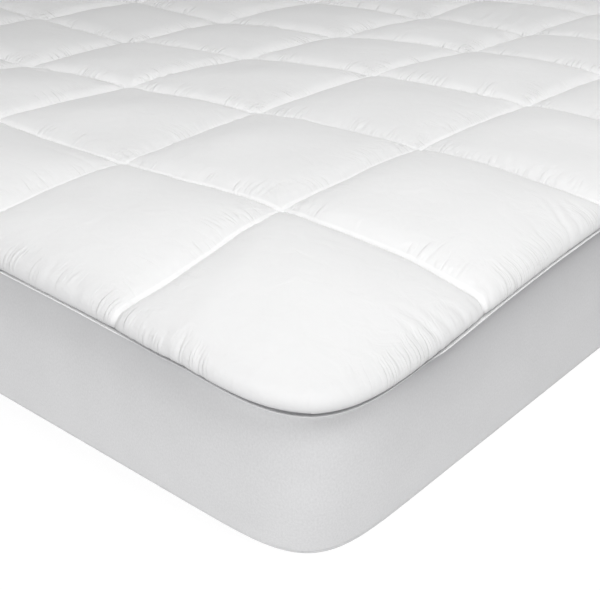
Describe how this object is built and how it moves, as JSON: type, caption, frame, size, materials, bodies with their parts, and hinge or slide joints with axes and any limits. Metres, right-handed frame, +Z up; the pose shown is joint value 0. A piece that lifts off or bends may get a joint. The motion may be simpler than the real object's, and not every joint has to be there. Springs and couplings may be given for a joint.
{
  "type": "mattress topper on mattress",
  "caption": "Box-quilted, fibre-filled mattress topper with a smooth stretch-knit skirt, fitted over a rounded-corner mattress.",
  "frame": {"origin": "middle of the footprint, on the surface it rests on", "axes": "+X along the length, +Y across the width, +Z up; the corner seen in the picture is at -X, -Y"},
  "size_m": [2.0511, 1.9502, 0.263],
  "materials": {
    "quilted_top": "white fine-woven cotton over fibre fill, box quilted",
    "skirt": "smooth pale stretch knit",
    "mattress": "plain knit-covered foam"
  },
  "bodies": {
    "root": {"quilted_top": "quilted_top", "skirt": "skirt", "mattress": "mattress"}
  },
  "joints": []
}
